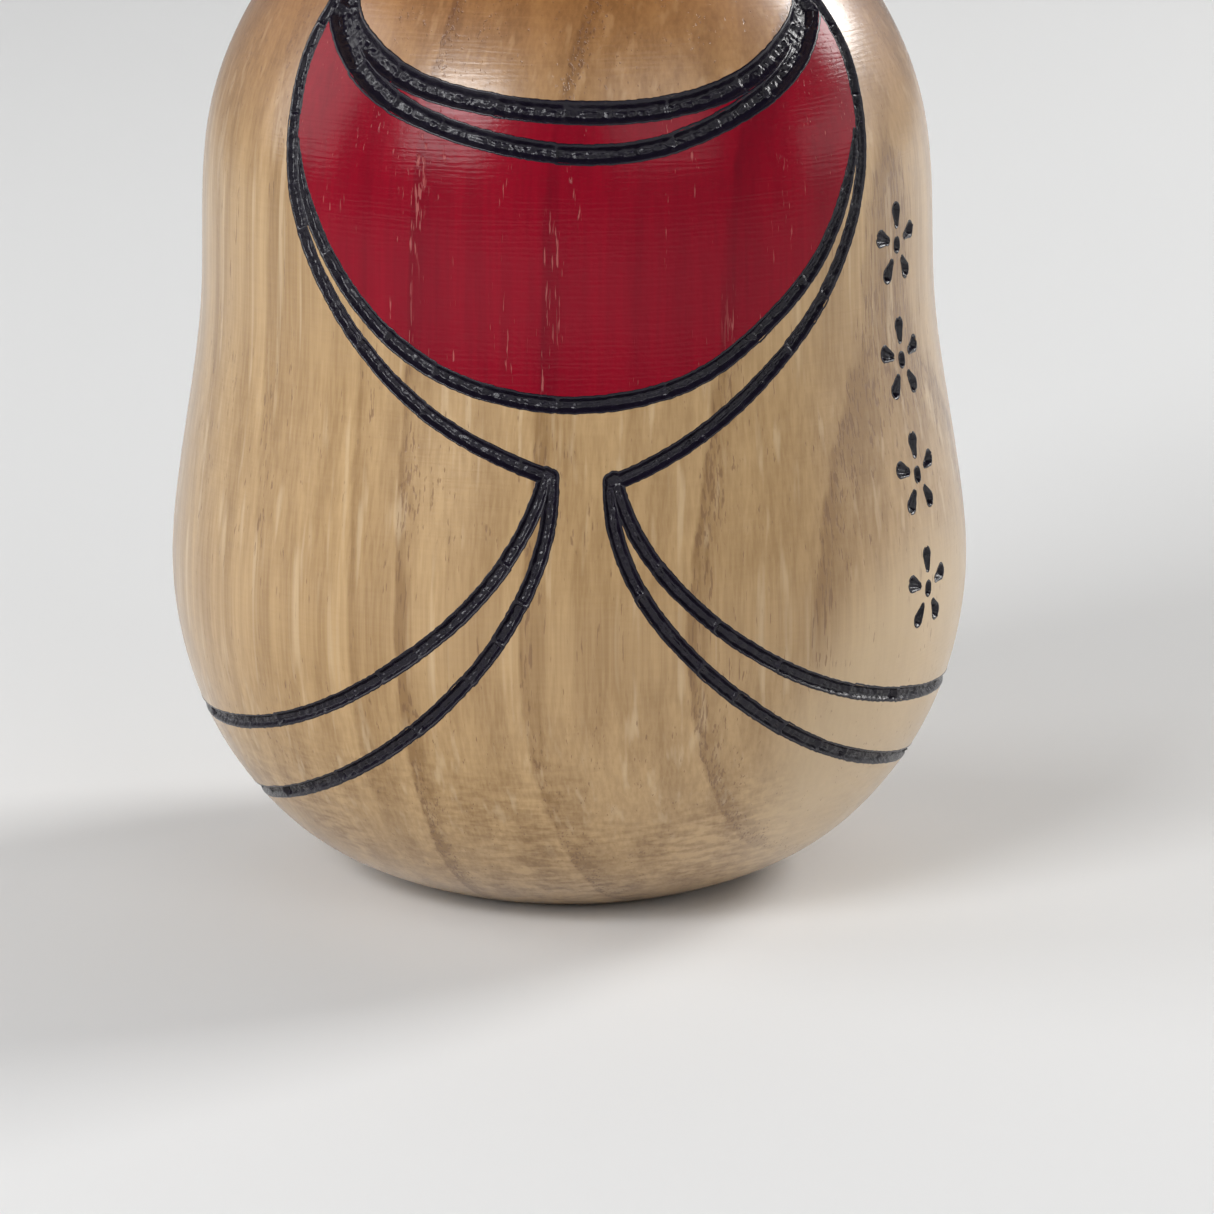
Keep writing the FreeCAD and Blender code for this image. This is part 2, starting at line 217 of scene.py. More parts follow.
# Colours
WOOD_LIGHT = (0.5, 0.322, 0.145)
WOOD_DARK = (0.25, 0.134, 0.04)
WOOD_PALE = (0.6, 0.44, 0.26)
WOOD_PORE = (0.16, 0.07, 0.02)
# Tint of the painted shade towards the neck, multiplied over the wood's colour
WOOD_NECK_SHADE = (0.68, 0.45, 0.26)
STAIN_LIGHT = (0.25, 0.0008, 0.012)
STAIN_DARK = (0.125, 0.0006, 0.008)
STAIN_PORE = (0.7, 0.25, 0.22)
LACQUER_DARK = (0.003, 0.002, 0.005)
LACQUER_LIGHT = (0.011, 0.008, 0.018)
PAINT_LIGHT = (0.42, 0.02, 0.02)
PAINT_DARK = (0.3, 0.01, 0.012)
FLOOR_DARK = (0.735, 0.737, 0.738)
FLOOR_LIGHT = (0.755, 0.757, 0.758)
WARM_WHITE = (1.0, 0.99, 0.97)
WHITE = (1.0, 1.0, 1.0)
COOL_WHITE = (0.98, 0.99, 1.0)
SKY = (0.95, 0.97, 1.0)

# Studio. The lights are panels in metres and watts, and the sky is very faint.
FLOOR_RADIUS = 1400
FLOOR_BEND = 900
FLOOR_BEND_STEPS = 16
WALL_HEIGHT = 1600
FLOOR_SEGMENTS = 96
LIGHT_AIM_HEIGHT = 0.05
SKY_STRENGTH = 0.05

# Camera
CAMERA_AZIMUTH = math.radians(-2.3)
CAMERA_PITCH = math.radians(13.914)
CAMERA_DISTANCE = 459.41
CAMERA_AIM_HEIGHT = 22.904
CAMERA_SIDESTEP = 3.29
CAMERA_ROLL = math.radians(-0.258)
CAMERA_LENS = 153.62
CAMERA_SENSOR = 36
CAMERA_CLIP = 0.01


def spline(points, count):
    """Places evenly spaced by chord along a smooth curve through the points."""
    points = np.array(points, float)
    chords = np.linalg.norm(np.diff(points, axis=0), axis=1)
    knots = np.concatenate([[0.0], np.cumsum(chords)])
    last = len(points) - 1
    system = np.zeros((last + 1, last + 1))
    rates = np.zeros_like(points)
    for i in range(1, last):
        before, after = chords[i - 1], chords[i]
        system[i, i - 1:i + 2] = after, 2 * (before + after), before
        rates[i] = 3 * after * (points[i] - points[i - 1]) / before
        rates[i] += 3 * before * (points[i + 1] - points[i]) / after
    for i, near in ((0, slice(0, 4)), (last, slice(last - 3, last + 1))):
        system[i, i] = 1
        rates[i] = np.polyfit(knots[near] - knots[i], points[near], 3)[2]
    slopes = np.linalg.solve(system, rates)
    run = np.linspace(0, knots[-1], count)
    span = np.clip(np.searchsorted(knots, run, side="right") - 1, 0, last - 1)
    chord = chords[span][:, None]
    share = (run - knots[span])[:, None] / chord
    start = (1 + 2 * share) * points[span] + share * chord * slopes[span]
    end = (3 - 2 * share) * points[span + 1] + (share - 1) * chord * slopes[span + 1]
    return (1 - share) ** 2 * start + share ** 2 * end


def lengths_along(points):
    """The distance run at each point of a polyline."""
    return np.concatenate([[0.0], np.cumsum(np.linalg.norm(np.diff(points, axis=0), axis=1))])


def units(vectors):
    return vectors / np.linalg.norm(vectors, axis=-1, keepdims=True)


def smooth_step(share):
    share = np.clip(share, 0, 1)
    return share * share * (3 - 2 * share)


class Turning:
    """A turned form: its outline as (radius, height), and what is read off it."""

    def __init__(self, profile, round_crown=False):
        points = [(radius, height) for height, radius in profile]
        beyond = [(-radius, height) for radius, height in points[-2:-5:-1]] if round_crown else []
        outline = spline(points + beyond, PROFILE_SAMPLES)
        if round_crown:
            outline = outline[:np.argmax(outline[:, 0] < 0)]
            outline = np.vstack([outline, points[-1]])
        slope = units(np.gradient(outline, axis=0))
        self.radii, self.heights = outline.T
        self.outward, self.upward = slope[:, 1], -slope[:, 0]
        self.outline = outline

    def rings(self, step):
        """Places on the outline, about a step apart."""
        run = lengths_along(self.outline)
        even = np.linspace(0, run[-1], int(run[-1] / step) + 1)
        return np.column_stack([np.interp(even, run, column) for column in self.outline.T])

    def facing(self, height):
        """The outward and upward parts of the normal at a height."""
        outward = np.interp(height, self.heights, self.outward)
        upward = np.interp(height, self.heights, self.upward)
        return outward, upward

    def place(self, azimuth, height, out=0.0):
        """Points at azimuths and heights, moved out along the normal."""
        outward, upward = self.facing(height)
        radius = np.interp(height, self.heights, self.radii) + outward * out
        turn = np.radians(azimuth)
        return np.stack([radius * np.sin(turn), -radius * np.cos(turn), height + upward * out], -1)

    def normal(self, azimuth, height):
        outward, upward = self.facing(height)
        turn = np.radians(azimuth)
        return units(np.stack([outward * np.sin(turn), -outward * np.cos(turn), upward], -1))

    def off_skin(self, points):
        """How far points lie from the turned surface."""
        radius = np.hypot(points[:, 0], points[:, 1])
        outward, _ = self.facing(points[:, 2])
        return np.abs(radius - np.interp(points[:, 2], self.heights, self.radii)) * outward


def azimuth_and_height(points):
    return np.degrees(np.arctan2(points[..., 0], -points[..., 1])), points[..., 2]


def solid(name, vertices, faces):
    """An object from vertices in millimetres."""
    mesh = bpy.data.meshes.new(name)
    mesh.from_pydata((np.asarray(vertices) * MM).tolist(), [], faces)
    made = bpy.data.objects.new(name, mesh)
    bpy.context.scene.collection.objects.link(made)
    return made


def revolved(name, outline, segments):
    """A closed turned solid. Its outline (radius, height) starts and ends on the axis."""
    turns = np.arange(segments) * 2 * math.pi / segments
    inner = np.array(outline[1:-1])
    rings = np.empty((len(inner), segments, 3))
    rings[..., 0] = inner[:, :1] * np.sin(turns)
    rings[..., 1] = -inner[:, :1] * np.cos(turns)
    rings[..., 2] = inner[:, 1:]
    low = len(inner) * segments
    high = low + 1
    vertices = np.vstack([rings.reshape(-1, 3), (0, 0, outline[0][1]), (0, 0, outline[-1][1])])
    faces = []
    for j in range(segments):
        k = (j + 1) % segments
        faces.append((k, j, low))
        faces.append((high - 1 - segments + j, high - 1 - segments + k, high))
        for i in range(0, (len(inner) - 1) * segments, segments):
            faces.append((i + j, i + k, i + segments + k, i + segments + j))
    return solid(name, vertices, faces)


def looped(name, rings):
    """A closed solid through rings of points, capped at both ends.

    Each ring runs anticlockwise as the last ring's end of the solid is looked at.
    """
    count, size = rings.shape[:2]
    faces = [tuple(range(size))[::-1], tuple(range((count - 1) * size, count * size))]
    for i in range(0, (count - 1) * size, size):
        for j in range(size):
            k = (j + 1) % size
            faces.append((i + j, i + k, i + size + k, i + size + j))
    return solid(name, rings.reshape(-1, 3), faces)


def combine(made, *steps):
    """Changes an object by boolean steps with other solids: (operation, solid) each."""
    for operation, other in steps:
        step = made.modifiers.new(operation, "BOOLEAN")
        step.solver = "MANIFOLD"
        step.operation = operation
        step.object = other
    evaluated = made.evaluated_get(bpy.context.evaluated_depsgraph_get())
    mesh = bpy.data.meshes.new_from_object(evaluated)
    made.modifiers.clear()
    made.data = mesh
    return made


def discard(objects):
    for used in objects:
        bpy.data.objects.remove(used)


def shade_skin(made, turning):
    """Gives the turned surface of a carved piece its exact normals, and flat ones elsewhere."""
    mesh = made.data
    vertices = np.empty(len(mesh.vertices) * 3)
    mesh.vertices.foreach_get("co", vertices)
    vertices = vertices.reshape(-1, 3) / MM
    starts = np.empty(len(mesh.polygons), int)
    mesh.polygons.foreach_get("loop_start", starts)
    sizes = np.empty(len(mesh.polygons), int)
    mesh.polygons.foreach_get("loop_total", sizes)
    facets = np.empty(len(mesh.polygons) * 3)
    mesh.polygons.foreach_get("normal", facets)
    corners = np.empty(len(mesh.loops), int)
    mesh.loops.foreach_get("vertex_index", corners)
    exact = turning.normal(*azimuth_and_height(vertices))
    facets = np.repeat(facets.reshape(-1, 3), sizes, axis=0)
    agree = (turning.off_skin(vertices) < SKIN_TOLERANCE)[corners]
    agree &= (exact[corners] * facets).sum(1) > SKIN_AGREEMENT
    on_skin = np.repeat(np.logical_and.reduceat(agree, starts), sizes)
    mesh.polygons.foreach_set("use_smooth", np.ones(len(mesh.polygons), bool))
    mesh.normals_split_custom_set(np.where(on_skin[:, None], exact[corners], facets).tolist())


class CarvedLine:
    """A carved line on a turned surface: its stations, and the shape of the lacquer in it."""

    def __init__(self, turning, half_width, points, seed):
        random = np.random.default_rng(seed)
        path = spline([(azimuth * MM_PER_DEGREE, height) for azimuth, height in points], PATH_SAMPLES)
        azimuths, heights = path[:, 0] / MM_PER_DEGREE, path[:, 1]
        run = lengths_along(turning.place(azimuths, heights))
        self.turning = turning
        self.run = np.linspace(0, run[-1], max(int(run[-1] / STATION_STEP), 3))
        azimuths = np.interp(self.run, run, azimuths)
        heights = np.interp(self.run, run, heights)
        self.place = turning.place(azimuths, heights)
        self.normal = turning.normal(azimuths, heights)
        self.along = units(np.gradient(self.place, axis=0))
        self.side = np.cross(self.normal, self.along)
        share = np.linspace(0, 1, len(self.run))
        self.smooth_half_width = np.interp(share, np.linspace(0, 1, len(half_width)), half_width)
        restarts = np.cumsum(random.uniform(*RESTART_SPACING, MOST_RESTARTS))
        restarts = restarts[restarts < self.run[-1]]
        self.half_width = np.column_stack([self.ragged(random, restarts) for _ in range(2)])
        self.depth = self.smooth_half_width * DEPTH_SHARE + self.wander(random, CHATTER_SPACING, CHATTER)
        for restart in restarts:
            bump = np.exp(-((self.run - restart) / RESTART_LENGTH) ** 2)
            self.depth -= random.uniform(LEAST_RISE_SHARE, 1) * RESTART_RISE * bump
        self.tree = kdtree.KDTree(len(self.place))
        for i, place in enumerate(self.place):
            self.tree.insert(place, i)
        self.tree.balance()

    def wander(self, random, spacing, amount):
        """A random wander along the line, with its knots a spacing apart."""
        knots = np.arange(0, self.run[-1] + 2 * spacing, spacing)
        return np.interp(self.run, knots, random.uniform(-amount, amount, len(knots)))

    def ragged(self, random, restarts):
        """One side's half width: it wavers, and steps at each restart of the gouge."""
        width = self.smooth_half_width + self.wander(random, RAGGED_SPACING, RAGGED)
        for restart in restarts:
            step = random.uniform(-1, 1) * RESTART_WIDTH
            width += step * (self.run > restart) * np.exp(-(self.run - restart) / RESTART_SPACING[0])
        return width

    def lift(self, station, share):
        """How high the lacquer stands over the wood's surface at a share of the half width."""
        wall = smooth_step((LIP_SHARE - share) / WALL_SHARE)
        lip = LIP_HEIGHT * (1 - (np.maximum(share - LIP_SHARE, 0) / (1 - LIP_SHARE)) ** 2)
        ridge = RIDGE_HEIGHT * smooth_step(1 - share / RIDGE_SHARE)
        return lip - self.depth[station] * wall + ridge

    def nearest(self, points):
        """The nearest station to each point, and the distance as a share of the half width there."""
        found = [self.tree.find(point) for point in points]
        station = np.array([index for _, index, _ in found])
        distance = np.array([distance for _, _, distance in found])
        on_left = ((points - self.place[station]) * self.side[station]).sum(1) < 0
        width = np.where(on_left, self.half_width[station, 0], self.half_width[station, 1])
        return station, distance / width

    def near(self, other):
        """Which stations lie so near another line that the two lines' lacquers may meet."""
        reach = self.half_width.max() + other.half_width.max() + 2 * STATION_STEP
        return np.array([other.tree.find(place)[2] < reach for place in self.place])

    def stations_with_ends(self):
        """Each ring's station, and how far the ring lies beyond it at a rounded end."""
        last = len(self.run) - 1
        start = np.arange(END_REACH * self.smooth_half_width[0], 0, -STATION_STEP / 2)
        end = np.arange(END_REACH * self.smooth_half_width[-1], 0, -STATION_STEP / 2)[::-1]
        station = np.concatenate([np.zeros(len(start), int), np.arange(last + 1), np.full(len(end), last)])
        beyond = np.concatenate([-start, np.zeros(last + 1), end])
        return station, beyond

    def lacquer(self, name, earlier, later):
        """The lacquer in the groove, as a closed solid. It lies just under earlier lines' lacquer."""
        station, beyond = self.stations_with_ends()
        shares = np.array([-share for share in SECTION_SHARES] + SECTION_SHARES[-2::-1])
        width = np.where(shares < 0, self.half_width[station, :1], self.half_width[station, 1:])
        reach = np.sqrt(np.maximum(width ** 2 - beyond[:, None] ** 2, (LEAST_REACH * width) ** 2))
        across = shares * reach
        places = self.place[station] + self.along[station] * beyond[:, None]
        points = places[:, None] + self.side[station][:, None] * across[..., None]
        lift = self.lift(station[:, None], np.hypot(across, beyond[:, None]) / width)
        for other in [*earlier, *later]:
            rows = np.flatnonzero(self.near(other)[station])
            if len(rows) == 0:
                continue
            other_station, share = other.nearest(points[rows].reshape(-1, 3))
            other_lift = other.lift(other_station, share)
            if other in earlier:
                other_lift = other_lift - SINK * smooth_step((1 - share) / SINK_SHARE)
                own = lift[rows].ravel() - SINK * smooth_step((1 - share) / SINK_SHARE)
            else:
                own = lift[rows].ravel()
            met = np.where(share < 1, np.minimum(own, other_lift), lift[rows].ravel())
            lift[rows] = met.reshape(len(rows), -1)
        middle = smooth_step((BEAD_REACH - np.abs(shares)) / BEAD_REACH)
        lift += stipple(points) * middle * self.smooth_half_width[station][:, None]
        top = self.turning.place(*azimuth_and_height(points), lift)
        section = np.concatenate([top, self.underside(station, points, lift)], axis=1)
        return looped(name, section[:, ::-1])

    def underside(self, station, points, lift):
        """The lacquer's lower corners: under each rim, and at both edges of the groove's floor."""
        middle = points[:, len(SECTION_SHARES) - 1]
        floor = -GROOVE_DEPTH_SHARE * self.smooth_half_width[station]
        floor = np.minimum(floor, lift.min(axis=1) - FILM)
        corners = []
        for rim, share, level in (
            (-1, 1.0, np.minimum(-RIM_ROOT, lift[:, -1] - FILM)),
            (-1, GROOVE_FLOOR_SHARE, floor),
            (0, GROOVE_FLOOR_SHARE, floor),
            (0, 1.0, np.minimum(-RIM_ROOT, lift[:, 0] - FILM)),
        ):
            corner = middle + (points[:, rim] - middle) * share
            corners.append(self.turning.place(*azimuth_and_height(corner), level))
        return np.stack(corners, axis=1)

    def groove(self, name):
        """The solid that cuts this line's groove, a little narrower than the lacquer over it."""
        last = len(self.run) - 1
        ends = np.array(GROOVE_END_SHARES)
        rows = np.unique(np.append(np.arange(0, last, GROOVE_STRIDE), last))
        beyond = np.concatenate([-ends, np.zeros(len(rows)), ends[::-1]])
        rows = np.concatenate([np.zeros(len(ends), int), rows, np.full(len(ends), last)])
        half = self.smooth_half_width[rows]
        places = self.place[rows] + self.along[rows] * (half * beyond)[:, None]
        depth = half * GROOVE_DEPTH_SHARE
        rim = half * (np.sqrt(1 - beyond ** 2) - GROOVE_INSET_SHARE)
        floor = rim * GROOVE_FLOOR_SHARE
        top = rim + (rim - floor) * GROOVE_RISE / depth
        corners = [(top, GROOVE_RISE), (-top, GROOVE_RISE), (-floor, -depth), (floor, -depth)]
        rings = [
            places + self.side[rows] * across[:, None] + self.normal[rows] * np.reshape(out, (-1, 1))
            for across, out in corners
        ]
        return looped(name, np.stack(rings, axis=1))


def stipple(points):
    """Beads and small bumps of brushed lacquer, as a height at each point."""
    heights = np.zeros(points.shape[:-1])
    for rise, size in BEADS:
        bumps = [rise * noise.noise(Vector(place)) for place in points.reshape(-1, 3) / size]
        heights += np.reshape(bumps, heights.shape)
    return heights


def front_prism(name, outline):
    """A block with an outline (x, z) seen from the front, from the axis to past the front."""
    outline = np.asarray(outline)
    back = np.column_stack([outline[:, 0], np.zeros(len(outline)), outline[:, 1]])
    front = back - (0, PRISM_REACH, 0)
    return looped(name, np.stack([back, front]))


def seen_from_front(turning, points):
    """A smooth curve (x, z) through surface points (azimuth, height)."""
    azimuths, heights = np.array(points).T
    return spline(turning.place(azimuths, heights)[:, [0, 2]], OUTLINE_SAMPLES)


def moved(points, rise):
    return [(azimuth, height + rise) for azimuth, height in points]


def bib_outlines(turning):
    """The outlines of the bib's field and of the band along its collar. They run inside grooves."""
    hem = BODY_LINES["bib_hem_line"][-1]
    upper = BODY_LINES["collar_line_upper"][-1]
    lower = BODY_LINES["collar_line_lower"][-1]
    left_side = BODY_LINES["robe_line_left"][-1][1:4]
    right_side = BODY_LINES["robe_line_right"][-1][3:0:-1]
    return {
        "bib_field": np.vstack([
            seen_from_front(turning, left_side + hem + right_side),
            seen_from_front(turning, moved(lower[::-1], -OUTLINE_OFFSET)),
        ]),
        "bib_band": np.vstack([
            seen_from_front(turning, moved(lower[1:-1], OUTLINE_OFFSET)),
            seen_from_front(turning, moved(upper[-3:1:-1], -OUTLINE_OFFSET)),
        ]),
    }


def arc(width, rise, height):
    """A shallow arc (x, z) from left to right, bowed up by a rise."""
    across = np.linspace(-width / 2, width / 2, ARC_SAMPLES)
    return np.column_stack([across, height + rise * (1 - (2 * across / width) ** 2)])


def face_outlines():
    """The outlines of the small bowed mouth and of the dot on the brow."""
    turn = np.linspace(0, 2 * math.pi, DOT_SAMPLES, endpoint=False)
    upper_lip = arc(MOUTH_WIDTH, MOUTH_BOW, MOUTH_HEIGHT)
    lower_lip = arc(MOUTH_WIDTH, -MOUTH_DROP, MOUTH_HEIGHT)
    return {
        "mouth_paint": np.vstack([lower_lip, upper_lip[-2:0:-1]]),
        "brow_dot": np.column_stack([np.cos(turn), np.sin(turn)]) * DOT_RADIUS + (0, DOT_HEIGHT),
    }


def body_outline(turning):
    """The body from its hollow foot round its skin to the bottom of the hole for the peg."""
    share = np.linspace(0, 1, HOLLOW_SAMPLES)
    hollow = np.column_stack([FOOT_HOLLOW_RADIUS * share, FOOT_HOLLOW_DEPTH * (1 - share ** 2)])
    neck = turning.heights[-1]
    hole = [(PEG_HOLE_RADIUS, neck), (PEG_HOLE_RADIUS, PEG_HOLE_BOTTOM), (0, PEG_HOLE_BOTTOM)]
    return [*hollow, *turning.rings(RING_STEP), *hole]


def head_outline(turning):
    """The head from the top of its hole for the peg round its seat and its skin to the crown."""
    seat = turning.heights[0]
    hole = [(0, PEG_HOLE_TOP), (PEG_HOLE_RADIUS, PEG_HOLE_TOP), (PEG_HOLE_RADIUS, seat)]
    return [*hole, *turning.rings(RING_STEP)]


def core_outline(turning):
    """What is left of a turned form under the depth that stain soaks into it."""
    rings = turning.rings(2 * RING_STEP)
    outward, upward = turning.facing(rings[:, 1])
    rings = rings - np.column_stack([outward, upward]) * STAIN_DEPTH
    rings = rings[rings[:, 0] > STAIN_DEPTH]
    return [(0, rings[0, 1]), *rings, (0, rings[-1, 1])]


def carved_form(name, turning, outline, lines, paints):
    """A turned form cut by its lines' grooves and its painted places, and each paint's own piece."""
    grooves = [line.groove("groove") for line in lines]
    core = revolved("core", core_outline(turning), CORE_SEGMENTS)
    slabs = {}
    for paint, paint_outline in paints.items():
        slabs[paint] = combine(front_prism("slab", paint_outline), ("DIFFERENCE", core))
    cuts = [("DIFFERENCE", groove) for groove in grooves]
    pieces = {}
    for paint, slab in slabs.items():
        skin = revolved(paint, outline, SEGMENTS)
        pieces[paint] = combine(skin, ("INTERSECT", slab), *cuts)
    form = revolved(name, outline, SEGMENTS)
    pieces[name] = combine(form, *cuts, *[("DIFFERENCE", slab) for slab in slabs.values()])
    for piece in pieces.values():
        shade_skin(piece, turning)
    discard([core, *slabs.values(), *grooves])
    return pieces


def make_lines(turning, line_table, first_seed):
    lines = {}
    for i, (name, (half_width, points)) in enumerate(line_table.items()):
        lines[name] = CarvedLine(turning, np.atleast_1d(half_width), points, first_seed + i)
    return lines


def lacquer_pieces(lines):
    """Each line's lacquer. Where lines run together, an earlier line's lies over a later one's."""
    order = list(lines.values())
    pieces = {}
    for i, (name, line) in enumerate(lines.items()):
        pieces[name] = line.lacquer("lacquer_" + name, order[:i], order[i + 1:])
        pieces[name].data.shade_smooth()
    return pieces


def blossom_lines(turning):
    """The strokes of the blossoms: five petals that widen outwards, round a short heart."""
    strokes = []
    for centre in BLOSSOM_HEIGHTS:
        marks = [(0, -HEART_LENGTH / 2, HEART_LENGTH / 2, [HEART_HALF_WIDTH])]
        for i in range(PETAL_COUNT):
            turn = 2 * math.pi * i / PETAL_COUNT
            marks.append((turn, PETAL_START, PETAL_END, PETAL_HALF_WIDTHS))
        degrees = math.degrees(1 / np.interp(centre, turning.heights, turning.radii))
        for turn, start, end, half_widths in marks:
            points = [
                (BLOSSOM_AZIMUTH + reach * math.sin(turn) * degrees, centre + reach * math.cos(turn))
                for reach in np.linspace(start, end, STROKE_POINTS)
            ]
            strokes.append(CarvedLine(turning, half_widths, points, BLOSSOM_SEED + len(strokes)))
    return strokes


def joined(objects, name):
    """One object from several, without changing their meshes."""
    vertices = []
    faces = []
    for part in objects:
        start = len(vertices)
        vertices += [vertex.co / MM for vertex in part.data.vertices]
        faces += [[start + i for i in face.vertices] for face in part.data.polygons]
    discard(objects)
    return solid(name, vertices, faces)


class Graph:
    """A material's nodes, with a short call for each kind that is used here."""

    def __init__(self, name, shift=0.0):
        self.shift = shift
        self.material = bpy.data.materials.new(name)
        self.material.use_nodes = True
        self.tree = self.material.node_tree
        self.tree.nodes.clear()

    def node(self, kind, inputs, **settings):
        """A node with its settings, and its inputs given as numbers or as other nodes' outputs."""
        made = self.tree.nodes.new("ShaderNode" + kind)
        for key, value in settings.items():
            setattr(made, key, value)
        for key, value in inputs.items():
            if isinstance(value, bpy.types.NodeSocket):
                self.tree.links.new(value, made.inputs[key])
            else:
                made.inputs[key].default_value = value
        return made

    def math(self, operation, a, b=0.0):
        return self.node("Math", {0: a, 1: b}, operation=operation).outputs[0]

    def times(self, a, b):
        return self.math("MULTIPLY", a, b)

    def total(self, first, *others):
        for other in others:
            first = self.math("ADD", first, other)
        return first

    def scaled(self, value, low, high):
        """A 0 to 1 value, stretched to run from low to high."""
        return self.total(self.times(value, high - low), low)

    def steps(self, value, start, end):
        """0 where a value is below start, 1 above end, and smooth between."""
        inputs = {"Value": value, "From Min": start, "From Max": end}
        return self.node("MapRange", inputs, interpolation_type="SMOOTHSTEP").outputs[0]

    def colour(self, share, a, b, blend="MIX"):
        """Colour a where the share is 0 and b where it is 1, or another blend of the two."""
        mix = self.node("Mix", {0: share}, data_type="RGBA", blend_type=blend)
        for key, value in ((6, a), (7, b)):
            if isinstance(value, bpy.types.NodeSocket):
                self.tree.links.new(value, mix.inputs[key])
            else:
                mix.inputs[key].default_value = (*value, 1)
        return mix.outputs[2]

    def place(self):
        """The place in the wood in millimetres: across the growth rings, along them, and up."""
        inputs = {
            "Vector": self.node("TexCoord", {}).outputs["Object"], "Scale": (1 / MM,) * 3,
            "Rotation": (0, 0, RING_TURN), "Location": (self.shift, 0, 0),
        }
        return self.node("Mapping", inputs).outputs[0]

    def noise(self, place, sizes, detail=2.0, roughness=0.5, offset=0.0):
        """Noise from 0 to 1 whose blotches have these sizes in millimetres."""
        inputs = {
            "Vector": place, "Scale": [1 / size for size in sizes], "Location": (offset,) * 3,
        }
        stretched = self.node("Mapping", inputs).outputs[0]
        inputs = {"Vector": stretched, "Scale": 1.0, "Detail": detail, "Roughness": roughness}
        return self.node("TexNoise", inputs).outputs[0]

    def ramp(self, value, stops):
        """A grey level read off (position, level) stops."""
        made = self.node("ValToRGB", {0: value})
        elements = made.color_ramp.elements
        while len(elements) < len(stops):
            elements.new(0.5)
        for element, (position, level) in zip(elements, stops):
            element.position = position
            element.color = (level, level, level, 1)
        return made.outputs[0]

    def finish(self, **surface):
        """Ends the graph in a principled shader with these named inputs."""
        inputs = {key.replace("_", " "): value for key, value in surface.items()}
        shader = self.node("BsdfPrincipled", inputs)
        self.node("OutputMaterial", {"Surface": shader.outputs[0]})
        return self.material


def ring_stops():
    """Ramp stops for the growth rings: dark at each ring's start, and fading across it."""
    stops = [(-RING_REACH, 0.1)]
    for place, darkness in RINGS:
        stops += [(place - RING_EDGE, 0.05), (place, darkness), (place + RING_FADE, 0.2)]
    return [(0.5 + place / (2 * RING_REACH), level) for place, level in stops]


def growth_rings(graph, place, across, sapwood):
    """Dark ring lines that drift and waver, and are fainter in the sapwood."""
    drift = graph.scaled(graph.noise(place, (30, 30, 60), 1.0), -RING_DRIFT, RING_DRIFT)
    waver = graph.scaled(graph.noise(place, (1.0, 1.0, 5), 3.0, offset=7), -RING_WAVER, RING_WAVER)
    warped = graph.total(across, drift, waver)
    share = graph.total(graph.math("DIVIDE", warped, 2 * RING_REACH), 0.5)
    return graph.times(graph.ramp(share, ring_stops()), graph.scaled(sapwood, 1.0, SAPWOOD_RINGS))


def open_pores(graph, place, rings):
    """Short upright pores, which crowd together along the ring lines."""
    crowd = graph.scaled(graph.noise(place, (1.1, 1.1, 16), 1.0, offset=19), *CROWDING)
    crowd = graph.math("MINIMUM", graph.total(crowd, graph.times(rings, RING_CROWDING)), MOST_CROWDING)
    grain = graph.noise(place, (0.2, 0.24, 2.4), 2.0, offset=23)
    return graph.steps(graph.total(grain, crowd), *PORE_SPAN)


def foot_curl(graph, place, up):
    """Curly ripples from -0.5 to 0.5, in patches near the foot."""
    ripple = graph.steps(graph.noise(place, (1.9, 1.9, 0.5), 2.0, offset=31), 0.36, 0.64)
    patches = graph.steps(graph.noise(place, (14, 14, 14), 1.0, offset=37), 0.35, 0.6)
    low = graph.math("SUBTRACT", 1.0, graph.steps(up, *CURL_SPAN))
    return graph.times(graph.math("SUBTRACT", ripple, 0.5), graph.times(low, patches))


def wood_figure(graph):
    """The figure of ring-porous hardwood: rings, streaks, pale streaks, pores, curl, sapwood."""
    place = graph.place()
    across, _, up = (graph.node("SeparateXYZ", {0: place}).outputs[i] for i in range(3))
    outward = graph.math("SUBTRACT", across, graph.times(up, SAPWOOD_LEAN))
    sapwood = graph.steps(outward, *SAPWOOD_SPAN)
    rings = growth_rings(graph, place, across, sapwood)
    broad = graph.steps(graph.noise(place, (2.2, 4.0, 70), 2.0, offset=3), 0.34, 0.68)
    fine = graph.steps(graph.noise(place, (0.34, 0.5, 15), 3.0, 0.6, offset=11), 0.3, 0.7)
    pale = graph.steps(graph.noise(place, (0.9, 1.5, 42), 2.0, offset=17), 0.55, 0.74)
    return {
        "across": across,
        "up": up,
        "rings": rings,
        "streaks": graph.total(graph.times(broad, 0.55), graph.times(fine, 0.45)),
        "pale": graph.times(pale, graph.steps(up, *PALE_SPAN)),
        "pores": open_pores(graph, place, rings),
        "curl": foot_curl(graph, place, up),
        "sapwood": sapwood,
    }


def turned_bump(graph, figure, marks, pits):
    """Turning marks round the piece, a little orange peel, and pores that stay open."""
    waver = graph.noise(graph.place(), (7, 7, 0.7), 3.0, offset=41)
    turns = graph.times(graph.total(figure["up"], waver), 2 * math.pi / TURNING_PITCH)
    ridges = graph.times(graph.math("SINE", turns), marks)
    peel = graph.times(graph.noise(graph.place(), (0.5, 0.5, 0.35), 2.0, offset=43), 6 * marks)
    height = graph.total(ridges, peel, graph.times(waver, 8 * marks))
    height = graph.math("SUBTRACT", height, graph.times(figure["pores"], pits))
    return graph.node("Bump", {"Height": height, "Distance": MM, "Strength": 1.0}).outputs[0]


